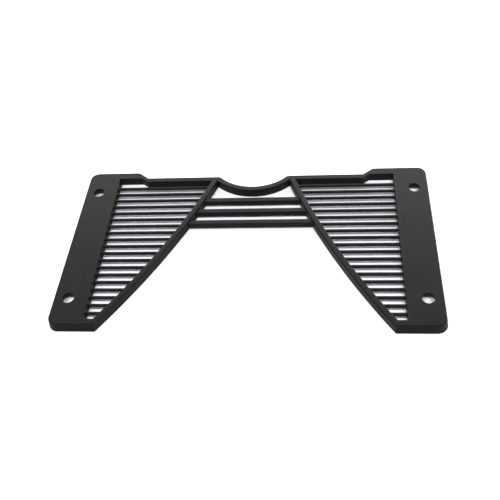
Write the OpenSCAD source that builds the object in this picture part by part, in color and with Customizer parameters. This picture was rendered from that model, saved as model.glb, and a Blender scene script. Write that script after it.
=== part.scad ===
// Radiator shroud for a motorbike, moulded in one piece: two mounting plates, two louvred wings
// framed by ribs, an arch between the wings and cross bars below it.
// It lies face up. X runs across the radiator, Y from the near edge to the far edge and Z out of
// the face. The origin is the middle of its outline, on the resting edge of the skirt.

/* [Overall] */
// Width across both side plates
width = 300; // [290:1:320]
// Depth of the side plates, near edge to far edge
depth = 166.5; // [160:0.5:176]
// Height of the face above the resting edge of the skirt
height = 8; // [7:0.5:12]
// Distance by which the skirt leans outward, from the face down to its foot
flare = 1.5; // [0.5:0.1:1.8]
// Radius of the softened edges of the face
edge_r = 0.9; // [0.4:0.1:1]

/* [Side plates] */
// Width of each side plate
plate_w = 28.9; // [27:0.1:32]
// Radius of the outer corners of the plates
corner_r = 8.5; // [6:0.5:11]
// Thickness of the skin of the plates
skin = 2.2; // [1.6:0.1:3.5]
// Thickness of the foot of the skirt and of the plates' inner walls
wall = 3.2; // [2.6:0.1:4]

/* [Mounting holes] */
// Diameter of each mounting hole
hole_d = 9.5; // [5:0.1:12]
// Hole centre to the outer side of the plate
hole_side = 12.9; // [11:0.1:16]
// Hole centre to the near or far edge of the plate
hole_end = 25.9; // [16:0.1:40]

/* [Wing frames] */
// Width of the ribs round the wings and the arch
rib_w = 5.1; // [4:0.1:6]
// Width of the near rim below the louvres
near_rim = 6.5; // [5.5:0.1:8]
// Width of the far rim beside each plate
far_rim = 8.7; // [7:0.1:10]
// Distance of the beam from the far edge of the plates
beam_drop = 8.4; // [7.5:0.1:9.5]
// Foot of the slanted step, from the centre line
step_x = 93; // [88:0.5:98]
// Run of the slanted step along X
step_run = 10.4; // [8:0.1:13]
// Radius of the rounded top of the step
step_r = 7.5; // [4:0.5:9]
// Outer edge of each brace at the near edge, from the centre line
brace_foot = 112.2; // [105:0.1:115]
// Outer edge of each brace at the beam, from the centre line
brace_head = 31.9; // [31:0.1:36]
// Radius of the gentle curve of each brace
brace_r = 643; // [450:1:1500]

/* [Centre arch] */
// Radius of the arch in the far edge
arch_r = 41.1; // [38:0.1:44]
// Dip of the arch below the far side of the beam
arch_dip = 12.8; // [10:0.1:14]
// Radius of the rounded shoulders beside the arch
shoulder_r = 5; // [4.5:0.5:6]

/* [Cross bars] */
// Number of cross bars between the braces
bar_count = 3; // [1:1:5]
// Width of each cross bar
bar_w = 5.1; // [3:0.1:6]
// Distance of the bars below the face
bar_drop = 1.5; // [0.5:0.1:3]
// Height of the bars above the resting edge
bar_lift = 2; // [0:0.1:3]
// Distance from one cross bar to the next
bar_pitch = 12.85; // [9:0.05:16]
// Gap on the centre line between the arch and the first bar
bar_gap = 6.7; // [3:0.1:9]

/* [Louvres] */
// Width of each slat
slat_w = 2.1; // [1.6:0.1:3]
// Depth of each slat
slat_h = 2.2; // [1.6:0.1:3.5]
// Distance of the slats below the face
slat_drop = 2; // [0.5:0.1:3.5]
// Distance from one slat to the next
slat_pitch = 7.44; // [6:0.01:10]
// Gap between the near rim and the first slat
slat_gap = 5.95; // [3:0.05:8]
// Radius of the softened edges of a slat
slat_r = 0.5; // [0.2:0.1:0.7]

/* [Hidden] */
$fn = 64;
// Facets of a full turn on the long shallow arcs
fine = 1440;
// Overrun of a cut past the surface it cuts
over = 1;
// Distance by which a rounding misses the faces beside it, so that it crosses them cleanly
hair = 0.002;
// The same for the rounded shoulders and for the rounded top of the step
dip = 0.05;

half = width / 2;
plate_in = half - plate_w;
beam_far = depth - beam_drop;
beam_near = beam_far - rib_w;
brace_c = arc_centre([brace_foot, 0], [brace_head, beam_near], brace_r);
arch_c = [0, beam_far - arch_dip + arch_r];
arch_near = beam_far - arch_dip - rib_w;
shoulder_y = beam_far - shoulder_r;
shoulder_reach = arch_r + shoulder_r - dip;
shoulder_c = [neat(sqrt(pow(shoulder_reach, 2) - pow(arch_c.y - shoulder_y, 2))), shoulder_y];
step_angle = atan(beam_drop / step_run);
step_foot = [step_x, beam_far];
step_peak = [step_x + step_run, depth];
step_slope = [cos(step_angle), sin(step_angle)];
step_c = step_peak + step_r * [tan(step_angle / 2), -1]
    + dip * [-sin(step_angle / 2), cos(step_angle / 2)];
// Overrun of the straight cuts along the step, past its peak and its foot
step_over = flare + edge_r + 3 * over;
// Edges of the beam and the arch, a little crisper than those of the braces that they cross
crisp_r = 0.8 * edge_r;
// Widths of the two strips that make up the beam, which overlap along the middle
far_strip = 0.6 * rib_w;
near_strip = rib_w / 2;
// Angle from the arch's centre to the shoulder's, and on to where the arch ends inside the brace
arch_angle = atan(shoulder_c.x / (arch_c.y - shoulder_y));
arch_end = arch_angle + asin(3 * edge_r / (arch_r + rib_w));
first_slat = near_rim + slat_gap + slat_w / 2;
slat_count = floor((beam_near - slat_w - slat_gap / 2 - first_slat) / slat_pitch) + 1;
first_bar = arch_near - bar_gap - bar_w / 2;

// Rounds to a thousandth, so that two pieces meet exactly where they should
function neat(v) = round(v * 1000) / 1000;

// Centre of the arc of radius r from a to b that bulges towards the centre line
function arc_centre(a, b, r) =
    let (d = b - a, l = norm(d))
    (a + b) / 2 + [d.y, -d.x] / l * sqrt(r * r - l * l / 4);

// Distance of the outer edge of a brace from the centre line, at y
function brace_x(y) = brace_c.x - sqrt(pow(brace_r, 2) - pow(y - brace_c.y, 2));

// Section of a rib that stands on y = 0: both top edges are rounded
module rib_section(w, h, r) {
    translate([-w / 2, 0]) square([w, h - r]);
    translate([r - w / 2, 0]) square([w - 2 * r, h]);
    for (s = [-1, 1]) translate([s * (w / 2 - r), h - r]) circle(r);
}

// Section of a strip below x = 0, with its top edge rounded on that side only
module strip_section(w, h, r) {
    difference() {
        translate([-w, 0]) square([w, h]);
        translate([0, h]) edge_waste(r);
    }
}

// Section of the waste outside a rounded edge: the edge is at 0, the material at x < 0 and y < 0
module edge_waste(r) {
    difference() {
        translate([-r, -r]) square(r + over);
        translate([hair - r, hair - r]) circle(r);
    }
}

// Section of the waste outside the leaning skirt and its rounded top edge. The foot of the skirt is at
// x = 0 and the face at y = 0
module skirt_waste() {
    lean = flare / height;
    side = atan(lean);
    top = lean * edge_r - edge_r / cos(side) - flare;
    bend = -edge_r * (1 - sin(side));
    difference() {
        polygon([[top, over], [top, bend], [-flare - lean * bend, bend], [lean * over, -height - over],
                 [2 * over, -height - over], [2 * over, over]]);
        translate([top + hair, hair - edge_r]) circle(edge_r);
    }
}

// Section of the waste inside the arch, round its centre
module hollow_waste() {
    translate([0, -height - over]) square([arch_r, height + 2 * over]);
    translate([arch_r, 0]) mirror([1, 0]) edge_waste(crisp_r);
}

// Section of the waste outside a shoulder, down through the rib
module shoulder_waste() {
    translate([0, -height - over]) square([shoulder_r, height + 2 * over]);
    edge_waste(crisp_r);
}

// Sweeps a section in a straight line from a to b, at height z, with its x to the right of the way
module run(a, b, z = 0) {
    d = b - a;
    translate([a.x, a.y, z]) rotate([0, 0, atan2(d.y, d.x)]) rotate([90, 0, 90])
        linear_extrude(norm(d)) mirror([1, 0]) children();
}

// Sweeps a section round the centre c, from one angle to another, at height z
module turn(c, from, to, z = 0, fn = $fn) {
    translate([c.x, c.y, z]) rotate([0, 0, from]) rotate_extrude(angle = to - from, $fn = fn) children();
}

// Everything behind the outer edge of the brace, or behind an edge set in from it
module behind_brace(set_in) {
    translate(brace_c) circle(brace_r - set_in, $fn = fine);
}

// Plan of a side plate, smaller by the inset all round except at its straight inner side. A negative
// inset leaves a margin, which the waste of the skirt takes off
module plate_plan(inset, inner_x) {
    r = corner_r - inset;
    x = half - corner_r;
    for (y = [corner_r, depth - corner_r]) translate([x, y]) circle(r);
    translate([inner_x, inset]) square([x - inner_x, depth - 2 * inset]);
    translate([inner_x, corner_r]) square([half - inset - inner_x, depth - 2 * corner_r]);
}

// Plan of the far rim beside a plate, down its slanted step to the beam, with a margin outside
module far_rim_plan() {
    kink = step_x + rib_w * tan(step_angle / 2);
    rise = depth - far_rim - beam_near;
    polygon([[step_x - over, beam_near], [step_x - over, beam_far],
             step_peak + over * [-tan(step_angle / 2), 1],
             [plate_in + wall, depth + over], [plate_in + wall, depth - far_rim],
             [kink + rise / tan(step_angle), depth - far_rim], [kink, beam_near]]);
}

// Plan of the near rim between the brace and the plate, with a margin outside
module near_rim_plan() {
    intersection() {
        translate([brace_foot - rib_w, -over])
            square([plate_in + wall - brace_foot + rib_w, near_rim + over]);
        behind_brace(rib_w / 2);
    }
}

// Waste outside the skirt, which runs along the outer edges of the plate and its rims
module outer_waste() {
    near = [half - corner_r, corner_r];
    far = [half - corner_r, depth - corner_r];
    run([brace_foot - rib_w, 0], [near.x, 0], height) skirt_waste();
    turn(near, -90, 0, height) translate([corner_r, 0]) skirt_waste();
    run([half, near.y], [half, far.y], height) skirt_waste();
    turn(far, 0, 90, height) translate([corner_r, 0]) skirt_waste();
    run([far.x, depth], [step_peak.x - step_over, depth], height) skirt_waste();
    run(step_peak + step_over * step_slope, step_foot - step_over * step_slope, height) skirt_waste();
    turn(step_c, 90, 90 + step_angle, height) translate([step_r, 0]) skirt_waste();
}

// One side plate with its rims: a skin with a skirt outside and a wall inside
module plate() {
    difference() {
        linear_extrude(height) {
            plate_plan(-over, plate_in);
            far_rim_plan();
            near_rim_plan();
        }
        // Hollow of the plate, under its skin
        translate([0, 0, -over]) linear_extrude(height - skin + over) plate_plan(wall, plate_in + wall);
        for (y = [hole_end, depth - hole_end])
            translate([half - hole_side, y, -over]) cylinder(h = height + 2 * over, d = hole_d);
    }
}

// Curved brace along the wing, from the near edge up into the beam, with a margin at the near edge
module brace() {
    base_angle = atan2(-brace_c.y, brace_foot - brace_c.x);
    head_angle = atan2(beam_near - brace_c.y, brace_head - brace_c.x);
    intersection() {
        turn(brace_c, head_angle - 1, base_angle + 1, 0, fine)
            translate([brace_r - rib_w / 2, 0]) rib_section(rib_w, height, edge_r);
        translate([0, -over, 0]) cube([half, beam_near + rib_w / 2 + over, height]);
    }
}

// Beam along the far side of the wing, from the shoulder of the arch to the step
module beam() {
    far_end = neat(step_x + flare / sin(step_angle) + over);
    run([far_end, beam_far], [shoulder_c.x, beam_far]) strip_section(far_strip, height, crisp_r);
    run([brace_head + near_strip, beam_near], [step_x + over, beam_near])
        strip_section(near_strip, height, crisp_r);
}

// Arch between the two wings, run on into the braces, with its shoulders
module arch() {
    difference() {
        union() {
            turn(arch_c, -90 - arch_end, -90 + arch_end, 0, fine / 4)
                translate([arch_r + rib_w, 0]) strip_section(rib_w + over, height, crisp_r);
            for (s = [0, 1]) mirror([s, 0, 0]) translate([shoulder_c.x - shoulder_r, shoulder_y, 0])
                cube([shoulder_r, shoulder_r, height]);
        }
        turn(arch_c, -90 - arch_end, -90 + arch_end, height, fine / 4) hollow_waste();
        for (s = [0, 1]) mirror([s, 0, 0]) turn(shoulder_c, 90, 90 + arch_angle, height)
            translate([shoulder_r, 0]) shoulder_waste();
    }
}

// Straight cross bars between the two braces, set below the face
module cross_bars() {
    for (i = [0 : bar_count - 1]) {
        y = first_bar - i * bar_pitch;
        reach = brace_x(y) + rib_w / 2;
        run([-reach, y], [reach, y], bar_lift)
            rib_section(bar_w, height - bar_drop - bar_lift, edge_r);
    }
}

// Louvre slats of one wing, set below the face, from the brace to the plate
module slats() {
    reach = plate_in + wall / 2;
    base = height - slat_drop - slat_h;
    intersection() {
        for (i = [0 : slat_count - 1]) {
            y = first_slat + i * slat_pitch;
            run([brace_x(y), y], [reach, y], base) rib_section(slat_w, slat_h, slat_r);
        }
        linear_extrude(height) behind_brace(rib_w / 2);
    }
}

// Right half of the shroud
module wing() {
    difference() {
        union() {
            plate();
            brace();
        }
        outer_waste();
    }
    beam();
    slats();
}

// The whole moulding
module shroud() {
    color([0.17, 0.17, 0.17]) translate([0, -depth / 2, 0]) {
        wing();
        mirror([1, 0, 0]) wing();
        arch();
        cross_bars();
    }
}

shroud();
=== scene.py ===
import math

import bpy
from mathutils import Matrix, Vector

# Camera of the photograph, fitted to a frame of 500 by 500 pixels
IMAGE = 500
FOCAL = 662.2
SENSOR = 36.0
CAMERA_AT = Vector((0.0606, -0.3478, 0.4126))
ELEVATION = math.radians(49.75)
YAW = math.radians(9.80)
ROLL = math.radians(7.94)
CLIP_START = 0.01

# Black moulded plastic: colours of the skin, of its paler flecks and of the painted highlight that
# lightens its edges
SKIN = (0.0070, 0.0067, 0.0060, 1)
FLECK = (0.0105, 0.0101, 0.0092, 1)
PAINTED_EDGE_HIGHLIGHT = (0.022, 0.021, 0.019, 1)
SPECULAR = 0.073
ROUGHNESS = (0.44, 0.54)

# Its fine grain, its flecks and the clouds in its roughness: scale, detail and range of each noise
GRAIN_SCALE = 1500
GRAIN_DETAIL = 4
GRAIN_DEPTH = 0.00004
GRAIN_STRENGTH = 0.14
FLECK_SCALE = 700
FLECK_DETAIL = 3
FLECK_RANGE = (0.5, 0.75)
CLOUD_SCALE = 28
CLOUD_DETAIL = 2
CLOUD_RANGE = (0.3, 0.7)

# Shading of its edges: radius in metres, and how far the rounded normal leans where an edge gets
# its painted highlight
EDGE_RADIUS = 0.0004
EDGE_SAMPLES = 4
EDGE_FACING = (0.86, 0.99)

# White sheet under the part
SHEET = (0.9, 0.9, 0.9, 1)
SHEET_ROUGHNESS = 0.7
SHEET_SIZE = 6

# Soft lights: name, place in metres, diameter, power in watts and colour
KEY_COLOUR = (0.97, 0.97, 1.03)
FAR_COLOUR = (1.0, 0.99, 0.97)
LIGHTS = (
    ("key_left", (-0.4, -0.41, 1.4), 0.35, 11.5, KEY_COLOUR),
    ("key_right", (0.4, -0.41, 1.4), 0.35, 11.5, KEY_COLOUR),
    ("far_left", (-0.8, 1.1, 0.45), 1.0, 16.0, FAR_COLOUR),
    ("far_middle", (0.0, 1.3, 0.45), 1.0, 26.0, FAR_COLOUR),
    ("far_right", (0.8, 1.1, 0.45), 1.0, 25.0, FAR_COLOUR),
)
WORLD_COLOUR = (0.92, 0.93, 1.10, 1)
WORLD_STRENGTH = 0.35


def camera_axes():
    """Right, up and forward directions of the camera."""
    right = Vector((1, 0, 0))
    up = Vector((0, math.sin(ELEVATION), math.cos(ELEVATION)))
    forward = Vector((0, math.cos(ELEVATION), -math.sin(ELEVATION)))
    turn = Matrix.Rotation(YAW, 3, "Z")
    right, up, forward = turn @ right, turn @ up, turn @ forward
    c, s = math.cos(ROLL), math.sin(ROLL)
    return c * right - s * up, s * right + c * up, forward


def make_camera():
    data = bpy.data.cameras.new("camera")
    data.sensor_width = SENSOR
    data.lens = FOCAL / IMAGE * SENSOR
    data.clip_start = CLIP_START
    camera = bpy.data.objects.new("camera", data)
    bpy.context.scene.collection.objects.link(camera)
    right, up, forward = camera_axes()
    basis = Matrix((right, up, -forward)).transposed().to_4x4()
    camera.matrix_world = Matrix.Translation(CAMERA_AT) @ basis
    bpy.context.scene.camera = camera


def new_material(name):
    """A material with its nodes, its links and its shader."""
    material = bpy.data.materials.new(name)
    material.use_nodes = True
    nodes = material.node_tree.nodes
    return material, nodes, material.node_tree.links, nodes["Principled BSDF"]


def add_noise(nodes, links, place, scale, detail):
    """Noise in the part's own metres, as a value from 0 to 1."""
    noise = nodes.new("ShaderNodeTexNoise")
    noise.inputs["Scale"].default_value = scale
    noise.inputs["Detail"].default_value = detail
    links.new(place.outputs["Object"], noise.inputs["Vector"])
    return noise.outputs["Fac"]


def add_range(nodes, links, value, low, high, to_low=0, to_high=1):
    """Maps a value from one range to another, held at its ends."""
    node = nodes.new("ShaderNodeMapRange")
    node.inputs["From Min"].default_value = low
    node.inputs["From Max"].default_value = high
    node.inputs["To Min"].default_value = to_low
    node.inputs["To Max"].default_value = to_high
    links.new(value, node.inputs["Value"])
    return node.outputs["Result"]


def add_mix(nodes, links, factor, first, second):
    """Mixes two colours; the first may be a socket."""
    mix = nodes.new("ShaderNodeMix")
    mix.data_type = "RGBA"
    links.new(factor, mix.inputs["Factor"])
    if isinstance(first, tuple):
        mix.inputs["A"].default_value = first
    else:
        links.new(first, mix.inputs["A"])
    mix.inputs["B"].default_value = second
    return mix.outputs["Result"]


def add_edge_mask(nodes, links):
    """0 on the faces and 1 along the edges, with the normal that rounds those edges; the mask
    places the painted edge highlight.
    """
    bevel = nodes.new("ShaderNodeBevel")
    bevel.samples = EDGE_SAMPLES
    bevel.inputs["Radius"].default_value = EDGE_RADIUS
    geometry = nodes.new("ShaderNodeNewGeometry")
    facing = nodes.new("ShaderNodeVectorMath")
    facing.operation = "DOT_PRODUCT"
    links.new(bevel.outputs["Normal"], facing.inputs[0])
    links.new(geometry.outputs["Normal"], facing.inputs[1])
    mask = add_range(nodes, links, facing.outputs["Value"], *EDGE_FACING, 1, 0)
    return mask, bevel.outputs["Normal"]


def make_plastic():
    material, nodes, links, shader = new_material("moulded_plastic")
    place = nodes.new("ShaderNodeTexCoord")
    edge, rounded = add_edge_mask(nodes, links)

    fleck = add_noise(nodes, links, place, FLECK_SCALE, FLECK_DETAIL)
    fleck = add_range(nodes, links, fleck, *FLECK_RANGE)
    colour = add_mix(nodes, links, fleck, SKIN, FLECK)
    # Painted highlight: the edge mask lightens the base colour along every edge, standing in for
    # sheen on rounded edges
    links.new(add_mix(nodes, links, edge, colour, PAINTED_EDGE_HIGHLIGHT), shader.inputs["Base Color"])

    cloud = add_noise(nodes, links, place, CLOUD_SCALE, CLOUD_DETAIL)
    roughness = add_range(nodes, links, cloud, *CLOUD_RANGE, *ROUGHNESS)
    links.new(roughness, shader.inputs["Roughness"])

    bump = nodes.new("ShaderNodeBump")
    bump.inputs["Strength"].default_value = GRAIN_STRENGTH
    bump.inputs["Distance"].default_value = GRAIN_DEPTH
    grain = add_noise(nodes, links, place, GRAIN_SCALE, GRAIN_DETAIL)
    links.new(grain, bump.inputs["Height"])
    links.new(rounded, bump.inputs["Normal"])
    links.new(bump.outputs["Normal"], shader.inputs["Normal"])

    shader.inputs["Specular IOR Level"].default_value = SPECULAR
    return material


def make_floor():
    bpy.ops.mesh.primitive_plane_add(size=SHEET_SIZE, location=(0, 0, 0))
    floor = bpy.context.object
    floor.name = "floor"
    material, _, _, shader = new_material("white_sheet")
    shader.inputs["Base Color"].default_value = SHEET
    shader.inputs["Roughness"].default_value = SHEET_ROUGHNESS
    floor.data.materials.append(material)


def make_light(name, at, size, power, colour):
    data = bpy.data.lights.new(name, "AREA")
    data.shape = "DISK"
    data.size = size
    data.energy = power
    data.color = colour
    lamp = bpy.data.objects.new(name, data)
    lamp.location = at
    lamp.rotation_euler = (-Vector(at)).to_track_quat("-Z", "Y").to_euler()
    bpy.context.scene.collection.objects.link(lamp)


def make_world():
    world = bpy.data.worlds.new("studio")
    world.use_nodes = True
    background = world.node_tree.nodes["Background"]
    background.inputs["Color"].default_value = WORLD_COLOUR
    background.inputs["Strength"].default_value = WORLD_STRENGTH
    bpy.context.scene.world = world


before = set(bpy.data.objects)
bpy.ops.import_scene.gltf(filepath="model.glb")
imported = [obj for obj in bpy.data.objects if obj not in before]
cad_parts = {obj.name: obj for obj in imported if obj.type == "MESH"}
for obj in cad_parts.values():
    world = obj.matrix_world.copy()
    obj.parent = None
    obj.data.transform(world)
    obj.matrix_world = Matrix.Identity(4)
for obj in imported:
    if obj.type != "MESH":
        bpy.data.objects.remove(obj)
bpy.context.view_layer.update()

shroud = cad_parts["shroud"]
shroud.data.materials.clear()
shroud.data.materials.append(make_plastic())
make_camera()
make_floor()
for light in LIGHTS:
    make_light(*light)
make_world()
bpy.context.scene.view_settings.view_transform = "Standard"
